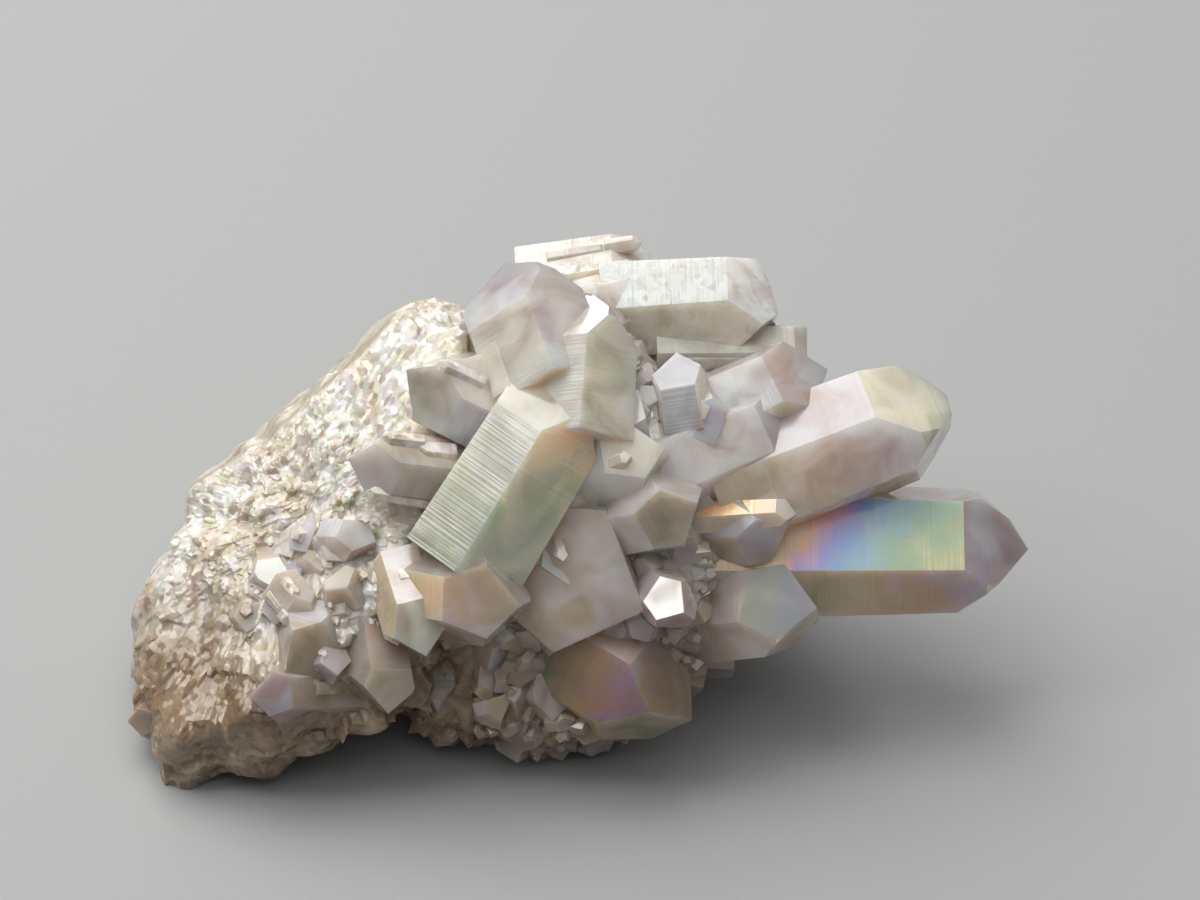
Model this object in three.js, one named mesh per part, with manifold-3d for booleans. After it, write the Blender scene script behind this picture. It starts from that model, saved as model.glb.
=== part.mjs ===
// Aura quartz cluster: a hand specimen of quartz points that fan out of one broken lump of
// milky quartz. It is one intergrown piece, so it is one closed solid, in millimetres, +Z up,
// lying on its side as on a table. X runs along the specimen from the broken root to the tip of
// the longest point, and -Y is the front. The origin is the middle of its box, at the table.
import * as THREE from "three";
import { ConvexGeometry } from "three/addons/geometries/ConvexGeometry.js";
import { mergeVertices } from "three/addons/utils/BufferGeometryUtils.js";
import Module from "manifold-3d";

const wasm = await Module();
wasm.setup();

// The lump that the points grow from: two rounded bodies, each drawn out to its faces from a
// centre. Each face has the way it looks and its reach, how far it lies from the origin.
const SUGARY_LUMP = {
  centre: [-21, 1, 13],
  faces: [
    { name: "sugary broken face", looks: [-0.48, -0.36, 0.8], reach: 26.2 },
    { name: "banded rim", looks: [-0.665, 0.48, 0.572], reach: 31.3 },
    { name: "upper left end", looks: [-0.864, 0.324, 0.386], reach: 34.4 },
    { name: "left end", looks: [-0.97, -0.15, -0.1], reach: 36.2 },
    { name: "front wall", looks: [-0.1, -0.99, -0.1], reach: 18.9 },
    { name: "towards the points", looks: [0.5, -0.75, 0.4], reach: 7.4 },
    { name: "front arch", looks: [0.469, -0.469, -0.748], reach: -4.9 },
    { name: "underside", looks: [0, 0, -1], reach: 3 },
    { name: "back", looks: [-0.25, 0.95, 0.15], reach: 21.5 },
    { name: "lower back", looks: [-0.2, 0.68, -0.7], reach: 11.5 },
    { name: "join with the core", looks: [1, 0, 0.1], reach: -5 },
    { name: "crest", looks: [0.3, 0.2, 0.93], reach: 25.5 },
  ],
};
const CORE_LUMP = {
  centre: [-1, 0, 15],
  faces: [
    { name: "front", looks: [0.15, -0.85, 0.5], reach: 17.2 },
    { name: "upper front", looks: [0.05, -0.5, 0.86], reach: 25 },
    { name: "front left", looks: [-0.5, -0.7, 0.5], reach: 19 },
    { name: "front left foot", looks: [-0.5, -0.75, -0.45], reach: 13.2 },
    { name: "lower front", looks: [0, -0.95, -0.3], reach: 13.4 },
    { name: "lower front right", looks: [0.5, -0.75, -0.45], reach: 8.8 },
    { name: "underside", looks: [0, 0, -1], reach: 3 },
    { name: "lower right", looks: [0.7, -0.1, -0.7], reach: 3.8 },
    { name: "right", looks: [0.95, -0.1, 0.3], reach: 16.5 },
    { name: "upper right", looks: [0.6, 0.1, 0.79], reach: 25.5 },
    { name: "top", looks: [0.1, 0.1, 0.99], reach: 31 },
    { name: "back", looks: [0.1, 0.95, 0.3], reach: 19 },
    { name: "lower back", looks: [0.1, 0.75, -0.65], reach: 8 },
    { name: "join with the sugary lump", looks: [-0.9, 0, 0.4], reach: 18 },
  ],
};
// Power of the smooth corner between two faces of a lump: a larger one is sharper.
const LUMP_ROUNDING = 14;
// How often the edges of a ball are split before it is drawn out into a lump.
const SUGARY_DETAIL = 8;
const CORE_DETAIL = 6;
// Waves that make the lumps uneven.
const LUMP_WAVES = [
  { length: 15, height: 0.6 },
  { length: 8.5, height: 0.4 },
  { length: 5.2, height: 0.28 },
];

// Degrees between the long axis of quartz and the normal of a tip face.
const TIP_FACE_ANGLE = 51.8;
// How much each prism face leans in towards the tip.
const PRISM_TAPER = 0.03;
// How far the break of a snapped point leans from square.
const SNAP_SLANT = 0.5;

// The points that can be told apart. root and tip lie on the long axis, width is across two
// prism faces, and roll turns the prism about its axis from a face that looks up. walls scales
// the six prism faces' distances from the axis, and caps sets the six tip faces back from the
// tip, in half widths: a face set further back is larger. A snapped point has lost that length of tip.
const POINTS = [
  {
    name: "big point", root: [4, -2.5, 14], tip: [36.6, -3, 14.2], width: 8.7, roll: 32,
    walls: [0.9, 1, 1, 1, 1, 1], caps: [0.15, -0.4, 0.1, -0.4, 0, -0.3],
  },
  {
    name: "shoulder point", root: [11, -1.5, 19], tip: [32, 3, 26], width: 8.6, roll: 6,
    walls: [1, 1, 1, 1, 1, 1], caps: [0.65, 0, 0.3, -0.1, 0.3, 0], snapped: 2.6,
  },
  { name: "white wedge", root: [5, 0, 21.5], tip: [21, 5, 27], width: 6.8, roll: 27 },
  { name: "wide white", root: [3, -4, 21], tip: [19, 2, 24.5], width: 7.2, roll: 38 },
  { name: "green prism", root: [6, 7, 27], tip: [19.8, 8, 26.3], width: 3.8, roll: 25, snapped: 1.8 },
  { name: "broken stub", root: [2, 10, 28.2], tip: [17.8, 10, 29.7], width: 6.8, roll: 15, snapped: 2.2 },
  { name: "top block", root: [-4.6, 13, 27.6], tip: [7.6, 13.5, 29.9], width: 6.4, roll: 0, snapped: 1 },
  { name: "top back block", root: [0, 7, 30], tip: [9, 14, 28], width: 5, roll: 42 },
  { name: "lilac cap", root: [-2, 0, 27], tip: [-6.3, 12, 32.2], width: 9.6, roll: 78 },
  { name: "glint point", root: [-0.2, -4, 26], tip: [0.8, 7.5, 33.2], width: 7.4, roll: 93 },
  { name: "long slant", root: [-9.4, -9, 18], tip: [1.2, 0.8, 32], width: 8.2, roll: 6 },
  {
    name: "lower point", root: [-6.4, -7, 10.6], tip: [9.2, -16, 6.7], width: 7.6, roll: 57,
    walls: [1, 1, 1, 1, 1, 1.2], caps: [-0.7, 0.35, -0.5, 0.1, -0.5, 0.05],
  },
  { name: "tooth", root: [-17, -8, 14], tip: [-15.2, -17.5, 9], width: 5.6, roll: 99 },
  { name: "pale left", root: [-18, -7, 12.5], tip: [-23.3, -16, 12.8], width: 5.8, roll: 69 },
  { name: "grey lying", root: [-16, -12, 7.5], tip: [-26.3, -17.4, 11.8], width: 4, roll: 65 },
  { name: "pink point", root: [-13, -8, 15], tip: [-4.3, -16, 20], width: 6.2, roll: 64 },
  { name: "green face", root: [-14.2, -8, 17], tip: [-11.8, -16.5, 15], width: 4.8, roll: 6 },
  { name: "brown end", root: [2, -4, 18.5], tip: [9.4, -9.5, 25], width: 5.6, roll: 90 },
  { name: "bar point", root: [6, -2, 16], tip: [17, -7, 20], width: 5, roll: 102 },
  { name: "under point", root: [4, -3, 6.6], tip: [19.4, -11, 15.4], width: 6.4, roll: 35 },
  { name: "low lump a", root: [7, 0, 5], tip: [12.8, -8.5, 5.6], width: 5, roll: 22 },
  { name: "low lump b", root: [5, -2, 5], tip: [10.4, -9.5, 5], width: 4.6, roll: 9 },
  { name: "bottom tooth", root: [-1.5, -8, 4], tip: [2.1, -13, 0.2], width: 3.2, roll: 4 },
  { name: "dark druse a", root: [-8.5, -8, 5], tip: [-9, -15.5, 7.5], width: 4.4, roll: 0 },
  { name: "dark druse b", root: [-4.1, -7, 4.5], tip: [-3.1, -15, 4.6], width: 4.6, roll: 2 },
  { name: "cloud left", root: [-5, 0, 25.5], tip: [-14.5, 1, 30.5], width: 6.4, roll: 40 },
  { name: "cloud low left", root: [-7, -2.6, 21.6], tip: [-18.8, -5, 25.5], width: 5.2, roll: 46 },
  { name: "nook grey", root: [8.5, -1, 25], tip: [7.4, 3.5, 30], width: 4, roll: 104 },
  { name: "nook dark", root: [8.4, 3, 25], tip: [10.5, -4, 25.7], width: 4.6, roll: 13 },
  { name: "nook green", root: [-1.5, -3, 21], tip: [6.9, -6, 28], width: 5, roll: 46 },
  { name: "ochre root", root: [12, -3, 17.5], tip: [20.9, -1, 24], width: 4, roll: 17 },
  { name: "heart", root: [-3.2, -3.4, 14], tip: [5.4, -13.9, 17.3], width: 13, roll: 51 },
  { name: "low glint", root: [4.6, -6, 14], tip: [8.2, -15, 18.4], width: 3.8, roll: 44 },
  { name: "spark", root: [-19, -7, 13], tip: [-18, -12.5, 18.6], width: 3.4, roll: 30 },
  { name: "left nub", root: [-31, -10, 2.5], tip: [-36.9, -12, 3.7], width: 2.6, roll: 68 },
  { name: "step a", root: [2, -3, 24], tip: [4.8, 0, 29.5], width: 4.6, roll: 10 },
  { name: "step b", root: [-1.5, -3, 21], tip: [1.6, -5, 26.5], width: 4.4, roll: 44 },
  { name: "bar strip", root: [8.9, -5.5, 19.7], tip: [17.4, -6.6, 21.4], width: 2, roll: 15 },
];

// Smaller points that stand out of the lump between the others, in three crops. A crop grows
// where the way out of its lump's centre passes the test.
const CROPS = [
  {
    name: "round the back", on: CORE_LUMP, count: 90, widths: [3.5, 8], standsOut: [1.5, 6],
    where: (way) => way.x > -0.6 && way.y > 0.1 + 0.5 * way.z,
  },
  {
    name: "between the front points", on: CORE_LUMP, count: 90, widths: [2.6, 4.8], standsOut: [0.2, 2],
    where: (way) => way.x > -0.6 && way.y < 0.1 + 0.5 * way.z,
  },
  {
    name: "on the sugary face", on: SUGARY_LUMP, count: 260, widths: [1.8, 3.2], standsOut: [0.3, 1.3],
    where: (way) => way.x > -0.45 && way.y < -0.35 && way.z > -0.1 && way.z < 0.55,
  },
];
// How far a crop's points lean from the way straight out, and how deep their roots lie in widths.
const CROP_LEAN = 0.7;
const CROP_DEPTH = 1.3;
// Height that no tip of a crop passes.
const CROP_TOP = 31.5;
// The turn from one place to the next that spreads places evenly over a ball.
const GOLDEN_TURN = Math.PI * (3 - Math.sqrt(5));

// The underside: a flat that is hollowed by low hills, so that only patches of it touch the table.
const UNDERSIDE = { length: 100, depth: 60, below: 20, step: 2 };
const HILL_LENGTH = 13;
const HILL_HEIGHT = 1.2;
const HILL_SINKS = 0.36;

// The move that brings the middle of the specimen's box to the origin.
const TO_BOX_MIDDLE = [0.4, -1.37, 0];

const vector = (a) => new THREE.Vector3(...a);
const between = ([low, high], t) => low + (high - low) * t;

// A repeatable number from 0 to 1 for each pair of whole numbers.
function chance(seed, step) {
  const s = Math.sin(seed * 12.9898 + step * 78.233) * 43758.5453;
  return s - Math.floor(s);
}

// The convex solid that lies behind every plane { normal, reach }.
function behindPlanes(planes) {
  const corners = [];
  const cross = (a, b) => new THREE.Vector3().crossVectors(a, b);
  for (let i = 0; i < planes.length; i++)
    for (let j = i + 1; j < planes.length; j++) {
      const ij = cross(planes[i].normal, planes[j].normal);
      for (let k = j + 1; k < planes.length; k++) {
        const det = ij.dot(planes[k].normal);
        if (Math.abs(det) < 1e-4) continue;
        const corner = cross(planes[j].normal, planes[k].normal)
          .multiplyScalar(planes[i].reach)
          .add(cross(planes[k].normal, planes[i].normal).multiplyScalar(planes[j].reach))
          .add(ij.clone().multiplyScalar(planes[k].reach))
          .divideScalar(det);
        const inside = planes.every((p) => p.normal.dot(corner) <= p.reach + 1e-6);
        if (inside && corners.every((c) => c.distanceTo(corner) > 1e-3)) corners.push(corner);
      }
    }
  return new ConvexGeometry(corners);
}

// One six-sided quartz point with a tip of three large faces and three small ones.
function quartzPoint({ root, tip, width, roll, walls, caps, snapped }, seed) {
  const end = vector(tip);
  const axis = end.clone().sub(vector(root)).normalize();
  const up = new THREE.Vector3(0, 0, 1).addScaledVector(axis, -axis.z).normalize();
  const side = new THREE.Vector3().crossVectors(axis, up);
  const half = width / 2;
  const planes = [{ normal: axis.clone().negate(), reach: -axis.dot(vector(root)) }];
  const capAngle = THREE.MathUtils.degToRad(TIP_FACE_ANGLE);
  for (let k = 0; k < 6; k++) {
    const turn = THREE.MathUtils.degToRad(roll + 60 * k);
    const out = up.clone().multiplyScalar(Math.cos(turn)).addScaledVector(side, Math.sin(turn));
    const wall = out.clone().addScaledVector(axis, PRISM_TAPER).normalize();
    const wallScale = walls ? walls[k] : 0.9 + 0.2 * chance(seed, k);
    planes.push({ normal: wall, reach: wall.dot(end.clone().addScaledVector(out, half * wallScale)) });
    const cap = out
      .clone()
      .multiplyScalar(Math.sin(capAngle))
      .addScaledVector(axis, Math.cos(capAngle));
    const usual = k % 2 === 0 ? 0.4 * chance(seed, k + 10) : -0.35 - 0.3 * chance(seed, k + 10);
    const setBack = half * (caps ? caps[k] : usual);
    planes.push({ normal: cap, reach: cap.dot(end.clone().addScaledVector(axis, -setBack)) });
  }
  if (snapped) {
    const breakFace = axis
      .clone()
      .addScaledVector(up, SNAP_SLANT * (chance(seed, 30) - 0.5))
      .addScaledVector(side, SNAP_SLANT * (chance(seed, 31) - 0.5))
      .normalize();
    const lostTip = end.clone().addScaledVector(axis, -snapped);
    planes.push({ normal: breakFace, reach: breakFace.dot(lostTip) });
  }
  return behindPlanes(planes);
}

// How far a lump reaches from its centre along a unit direction, before its waves.
function lumpReach({ centre, faces }, way) {
  let sum = 0;
  for (const face of faces) {
    const normal = vector(face.looks).normalize();
    const facing = normal.dot(way);
    if (facing > 0) sum += (facing / (face.reach - normal.dot(vector(centre)))) ** LUMP_ROUNDING;
  }
  return sum ** (-1 / LUMP_ROUNDING);
}

// How far the waves lift the lump's surface at a place.
function lumpWaves(p) {
  let height = 0;
  LUMP_WAVES.forEach((wave, i) => {
    const k = (2 * Math.PI) / wave.length;
    height +=
      wave.height *
      Math.sin(k * p.x + 1.7 * i + 1.3 * Math.sin(k * 0.7 * p.y)) *
      Math.sin(k * p.y + 0.9 * i + 1.1 * Math.sin(k * 0.6 * p.z)) +
      0.5 * wave.height * Math.sin(k * 1.1 * p.z + 2.3 * i + Math.sin(k * 0.8 * p.x));
  });
  return height;
}

function lump(shape, detail) {
  const sphere = new THREE.IcosahedronGeometry(1, detail);
  const places = sphere.getAttribute("position");
  for (let i = 0; i < places.count; i++) {
    const way = new THREE.Vector3().fromBufferAttribute(places, i).normalize();
    const place = vector(shape.centre).addScaledVector(way, lumpReach(shape, way));
    place.addScaledVector(way, lumpWaves(place));
    places.setXYZ(i, place.x, place.y, place.z);
  }
  return sphere;
}

// A crop of points spread evenly over its lump, each leaning a little its own way.
function cropPoints({ on, count, widths, standsOut, where }, crop) {
  const points = [];
  const centre = vector(on.centre);
  for (let i = 0; i < count; i++) {
    const height = 1 - (1.8 * (i + 0.5)) / count;
    const flat = Math.sqrt(1 - height * height);
    const turn = i * GOLDEN_TURN;
    const way = new THREE.Vector3(flat * Math.cos(turn), flat * Math.sin(turn), height);
    if (!where(way)) continue;
    const seed = 1000 * (crop + 1) + i;
    const lean = new THREE.Vector3(chance(seed, 1) - 0.2, chance(seed, 2) - 0.5, chance(seed, 3) - 0.5);
    const axis = way.clone().addScaledVector(lean, CROP_LEAN).normalize();
    const surface = centre.clone().addScaledVector(way, lumpReach(on, way));
    const out = between(standsOut, chance(seed, 4));
    const tip = surface.clone().addScaledVector(axis, out);
    if (tip.z > CROP_TOP) continue;
    const width = between(widths, chance(seed, 5));
    points.push({
      root: surface.clone().addScaledVector(axis, -CROP_DEPTH * width).toArray(),
      tip: tip.toArray(),
      width,
      roll: 120 * chance(seed, 6),
    });
  }
  return points;
}

// What lies below the specimen: a block whose top is flat at the table with low hills on it.
function tableWithHills() {
  const { length, depth, below, step } = UNDERSIDE;
  const block = new THREE.BoxGeometry(length, depth, below, length / step, depth / step, 1);
  block.translate(0, 0, -below / 2);
  const places = block.getAttribute("position");
  const k = (2 * Math.PI) / HILL_LENGTH;
  for (let i = 0; i < places.count; i++) {
    if (places.getZ(i) < -below / 2) continue;
    const [x, y] = [places.getX(i), places.getY(i)];
    const alongX = Math.sin(k * x + 2 * Math.sin(0.8 * k * y));
    const alongY = Math.sin(k * y + 1.5 * Math.sin(0.7 * k * x));
    places.setZ(i, Math.max(0, HILL_HEIGHT * (alongX + alongY) - HILL_SINKS));
  }
  return block;
}

// A three.js geometry as a solid that can be joined and cut.
function solid(geometry) {
  const bare = geometry.clone();
  bare.deleteAttribute("normal");
  bare.deleteAttribute("uv");
  const merged = mergeVertices(bare, 1e-4);
  return new wasm.Manifold(
    new wasm.Mesh({
      numProp: 3,
      vertProperties: merged.getAttribute("position").array,
      triVerts: new Uint32Array(merged.index.array),
    }),
  );
}

function geometryOf(made) {
  const mesh = made.getMesh();
  return new THREE.BufferGeometry()
    .setAttribute("position", new THREE.BufferAttribute(mesh.vertProperties, 3))
    .setIndex(new THREE.BufferAttribute(mesh.triVerts, 1))
    .toNonIndexed();
}

let body = solid(lump(SUGARY_LUMP, SUGARY_DETAIL)).add(solid(lump(CORE_LUMP, CORE_DETAIL)));
[...POINTS, ...CROPS.flatMap(cropPoints)].forEach((point, i) => {
  body = body.add(solid(quartzPoint(point, i + 1)));
});
body = body.subtract(solid(tableWithHills()));

const quartz = new THREE.MeshStandardMaterial({ color: "#dccdc6", roughness: 0.22, metalness: 0 });
const cluster = new THREE.Mesh(geometryOf(body), quartz);
cluster.geometry.computeVertexNormals();
cluster.name = "quartz_cluster";
cluster.position.set(...TO_BOX_MIDDLE);

const group = new THREE.Group();
group.add(cluster);
export default group;
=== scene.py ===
# Aura quartz cluster: the looks of the specimen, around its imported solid. Shapes are made in
# millimetres in the source's frame, then scaled and moved once, at the end, into the row frame.
import math

import bmesh
import bpy
import numpy as np
from mathutils import Matrix, Vector, noise
from mathutils.bvhtree import BVHTree


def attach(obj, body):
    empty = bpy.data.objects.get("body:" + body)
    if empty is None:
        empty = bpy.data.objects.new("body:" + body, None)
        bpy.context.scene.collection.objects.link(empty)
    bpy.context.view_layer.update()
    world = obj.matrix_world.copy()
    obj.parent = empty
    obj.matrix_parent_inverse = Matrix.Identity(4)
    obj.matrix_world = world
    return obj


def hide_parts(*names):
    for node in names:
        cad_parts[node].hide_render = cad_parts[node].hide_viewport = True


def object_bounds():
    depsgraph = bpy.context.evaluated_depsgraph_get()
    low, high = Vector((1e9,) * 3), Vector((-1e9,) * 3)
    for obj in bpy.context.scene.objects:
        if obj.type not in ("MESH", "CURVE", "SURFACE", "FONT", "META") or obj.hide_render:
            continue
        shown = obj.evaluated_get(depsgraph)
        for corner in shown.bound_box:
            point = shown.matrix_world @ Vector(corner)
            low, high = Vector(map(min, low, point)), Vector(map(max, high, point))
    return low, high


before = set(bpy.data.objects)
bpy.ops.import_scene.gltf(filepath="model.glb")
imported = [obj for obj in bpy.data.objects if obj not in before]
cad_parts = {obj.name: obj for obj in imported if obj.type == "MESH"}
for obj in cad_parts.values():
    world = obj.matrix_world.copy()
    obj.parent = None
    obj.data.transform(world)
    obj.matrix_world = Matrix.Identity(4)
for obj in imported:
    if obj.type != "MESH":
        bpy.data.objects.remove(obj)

CAD_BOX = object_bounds()
MM = 0.001
# The move that brings the middle of the specimen's box to the origin.
TO_BOX_MIDDLE = (0.4, -1.37, 0)

# The lump that the points grow from, as in the source: two bodies, each drawn out to its faces,
# (way it looks, reach from the origin), from a centre.
SUGARY_LUMP = dict(
    centre=(-21, 1, 13),
    faces=[
        ((-0.48, -0.36, 0.8), 26.2),
        ((-0.665, 0.48, 0.572), 31.3),
        ((-0.864, 0.324, 0.386), 34.4),
        ((-0.97, -0.15, -0.1), 36.2),
        ((-0.1, -0.99, -0.1), 18.9),
        ((0.5, -0.75, 0.4), 7.4),
        ((0.469, -0.469, -0.748), -4.9),
        ((0, 0, -1), 3),
        ((-0.25, 0.95, 0.15), 21.5),
        ((-0.2, 0.68, -0.7), 11.5),
        ((1, 0, 0.1), -5),
        ((0.3, 0.2, 0.93), 25.5),
    ],
)
CORE_LUMP = dict(
    centre=(-1, 0, 15),
    faces=[
        ((0.15, -0.85, 0.5), 17.2),
        ((0.05, -0.5, 0.86), 25),
        ((-0.5, -0.7, 0.5), 19),
        ((-0.5, -0.75, -0.45), 13.2),
        ((0, -0.95, -0.3), 13.4),
        ((0.5, -0.75, -0.45), 8.8),
        ((0, 0, -1), 3),
        ((0.7, -0.1, -0.7), 3.8),
        ((0.95, -0.1, 0.3), 16.5),
        ((0.6, 0.1, 0.79), 25.5),
        ((0.1, 0.1, 0.99), 31),
        ((0.1, 0.95, 0.3), 19),
        ((0.1, 0.75, -0.65), 8),
        ((-0.9, 0, 0.4), 18),
    ],
)
LUMP_ROUNDING = 14
LUMP_WAVES = [(15, 0.6), (8.5, 0.4), (5.2, 0.28)]
# The looks' lumps lie this far inside the source's, so that their druse stays inside its box.
LUMP_SHRINK = 0.35

TIP_FACE_ANGLE = 51.8
PRISM_TAPER = 0.03
SNAP_SLANT = 0.5


def point(name, root, tip, width, roll, **more):
    return dict(name=name, root=root, tip=tip, width=width, roll=roll, **more)


# The points that can be told apart, as in the source.
POINTS = [
    point("big point", (4, -2.5, 14), (36.6, -3, 14.2), 8.7, 32,
          walls=(0.9, 1, 1, 1, 1, 1), caps=(0.15, -0.4, 0.1, -0.4, 0, -0.3)),
    point("shoulder point", (11, -1.5, 19), (32, 3, 26), 8.6, 6,
          walls=(1, 1, 1, 1, 1, 1), caps=(0.65, 0, 0.3, -0.1, 0.3, 0), snapped=2.6),
    point("white wedge", (5, 0, 21.5), (21, 5, 27), 6.8, 27),
    point("wide white", (3, -4, 21), (19, 2, 24.5), 7.2, 38),
    point("green prism", (6, 7, 27), (19.8, 8, 26.3), 3.8, 25, snapped=1.8),
    point("broken stub", (2, 10, 28.2), (17.8, 10, 29.7), 6.8, 15, snapped=2.2),
    point("top block", (-4.6, 13, 27.6), (7.6, 13.5, 29.9), 6.4, 0, snapped=1),
    point("top back block", (0, 7, 30), (9, 14, 28), 5, 42),
    point("lilac cap", (-2, 0, 27), (-6.3, 12, 32.2), 9.6, 78),
    point("glint point", (-0.2, -4, 26), (0.8, 7.5, 33.2), 7.4, 93),
    point("long slant", (-9.4, -9, 18), (1.2, 0.8, 32), 8.2, 6),
    point("lower point", (-6.4, -7, 10.6), (9.2, -16, 6.7), 7.6, 57,
          walls=(1, 1, 1, 1, 1, 1.2), caps=(-0.7, 0.35, -0.5, 0.1, -0.5, 0.05)),
    point("tooth", (-17, -8, 14), (-15.2, -17.5, 9), 5.6, 99),
    point("pale left", (-18, -7, 12.5), (-23.3, -16, 12.8), 5.8, 69),
    point("grey lying", (-16, -12, 7.5), (-26.3, -17.4, 11.8), 4, 65),
    point("pink point", (-13, -8, 15), (-4.3, -16, 20), 6.2, 64),
    point("green face", (-14.2, -8, 17), (-11.8, -16.5, 15), 4.8, 6),
    point("brown end", (2, -4, 18.5), (9.4, -9.5, 25), 5.6, 90),
    point("bar point", (6, -2, 16), (17, -7, 20), 5, 102),
    point("under point", (4, -3, 6.6), (19.4, -11, 15.4), 6.4, 35),
    point("low lump a", (7, 0, 5), (12.8, -8.5, 5.6), 5, 22),
    point("low lump b", (5, -2, 5), (10.4, -9.5, 5), 4.6, 9),
    point("bottom tooth", (-1.5, -8, 4), (2.1, -13, 0.2), 3.2, 4),
    point("dark druse a", (-8.5, -8, 5), (-9, -15.5, 7.5), 4.4, 0),
    point("dark druse b", (-4.1, -7, 4.5), (-3.1, -15, 4.6), 4.6, 2),
    point("cloud left", (-5, 0, 25.5), (-14.5, 1, 30.5), 6.4, 40),
    point("cloud low left", (-7, -2.6, 21.6), (-18.8, -5, 25.5), 5.2, 46),
    point("nook grey", (8.5, -1, 25), (7.4, 3.5, 30), 4, 104),
    point("nook dark", (8.4, 3, 25), (10.5, -4, 25.7), 4.6, 13),
    point("nook green", (-1.5, -3, 21), (6.9, -6, 28), 5, 46),
    point("ochre root", (12, -3, 17.5), (20.9, -1, 24), 4, 17),
    point("heart", (-3.2, -3.4, 14), (5.4, -13.9, 17.3), 13, 51),
    point("low glint", (4.6, -6, 14), (8.2, -15, 18.4), 3.8, 44),
    point("spark", (-19, -7, 13), (-18, -12.5, 18.6), 3.4, 30),
    point("left nub", (-31, -10, 2.5), (-36.9, -12, 3.7), 2.6, 68),
    point("step a", (2, -3, 24), (4.8, 0, 29.5), 4.6, 10),
    point("step b", (-1.5, -3, 21), (1.6, -5, 26.5), 4.4, 44),
    point("bar strip", (8.9, -5.5, 19.7), (17.4, -6.6, 21.4), 2, 15),
]

# Crops of smaller points, as in the source: where on a lump they grow, from their ways out of
# its centre, and how they lean and reach into it. None has its tip above the top.
CROPS = [
    dict(on=CORE_LUMP, count=90, widths=(3.5, 8), stands_out=(1.5, 6),
         where=lambda w: w[0] > -0.6 and w[1] > 0.1 + 0.5 * w[2]),
    dict(on=CORE_LUMP, count=90, widths=(2.6, 4.8), stands_out=(0.2, 2),
         where=lambda w: w[0] > -0.6 and w[1] < 0.1 + 0.5 * w[2]),
    dict(on=SUGARY_LUMP, count=260, widths=(1.8, 3.2), stands_out=(0.3, 1.3),
         where=lambda w: w[0] > -0.45 and w[1] < -0.35 and -0.1 < w[2] < 0.55),
]
CROP_LEAN = 0.7
CROP_DEPTH = 1.3
CROP_TOP = 31.5
GOLDEN_TURN = math.pi * (3 - math.sqrt(5))

# The underside: a flat with low hills that hollow it, so that only patches touch the floor.
UNDERSIDE = dict(length=100, depth=60, below=20, step=1)
HILL_LENGTH = 13
HILL_HEIGHT = 1.2
HILL_SINKS = 0.36

# The druse: small points all over a lump, with their count, widths, how far they stand out and
# how much they lean.
DRUSE = [
    dict(on=CORE_LUMP, count=2800, widths=(0.8, 2.8), stands_out=(0.2, 1.5), lean=0.8),
]
# The smooth rim of the sugary lump, how far it spreads, and the growth bands that run along it.
RIM_LOOKS = (-0.665, 0.48, 0.572)
RIM_SPREAD = (0.1, 0.5)
BANDS_ACROSS = (0, -0.77, 0.64)
BAND_STEP = 0.95
# The sugary lump turns from glassy to rough between these heights.
FOOT_TOP = (7, 13)

# Edges longer than this are split, so that marks can vary along them.
LONGEST_EDGE = 1.6
# Smaller points that grow along the sides of the large ones, with their axes nearly parallel.
SIDE_POINTS = dict(
    fewest=2, most=7, widths=(0.15, 0.45), lengths=(0.2, 0.5), set_back=(0.12, 0.6),
    stands_out=(0.1, 0.45), lean=0.04,
)
# Cosine of the angle about a point within which a coated face keeps side points off.
COATED_FACE_KEEPS = 0.72
# Points that no side points grow on.
BARE_POINTS = ("big point", "heart", "bar strip", "left nub", "low glint", "glint point")

# Which solid a face belongs to: the number of its point, or one of these.
SUGARY_OWNER = -1
CORE_OWNER = -2
UNDERSIDE_OWNER = -3
# The source's box in the source's own millimetres, with the floor let be.
ROOM = np.array(CAD_BOX) / MM - np.array(TO_BOX_MIDDLE)
ROOM[0][2] = -10


def chance(seed, step):
    """A repeatable number from 0 to 1 for each pair of whole numbers."""
    s = math.sin(seed * 12.9898 + step * 78.233) * 43758.5453
    return s - math.floor(s)


def between(ends, t):
    return ends[0] + (ends[1] - ends[0]) * t


def share(value, low, high):
    """0 at low, 1 at high, with a smooth step between."""
    t = np.clip((np.asarray(value, float) - low) / (high - low), 0, 1)
    return t * t * (3 - 2 * t)


def unit(v):
    v = np.asarray(v, float)
    return v / np.linalg.norm(v)


def point_frame(p):
    """The long axis of a point, and the two ways across it that its roll is measured from."""
    axis = unit(np.subtract(p["tip"], p["root"]))
    up = unit(np.array((0, 0, 1)) - axis[2] * axis)
    return axis, up, np.cross(axis, up)


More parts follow.
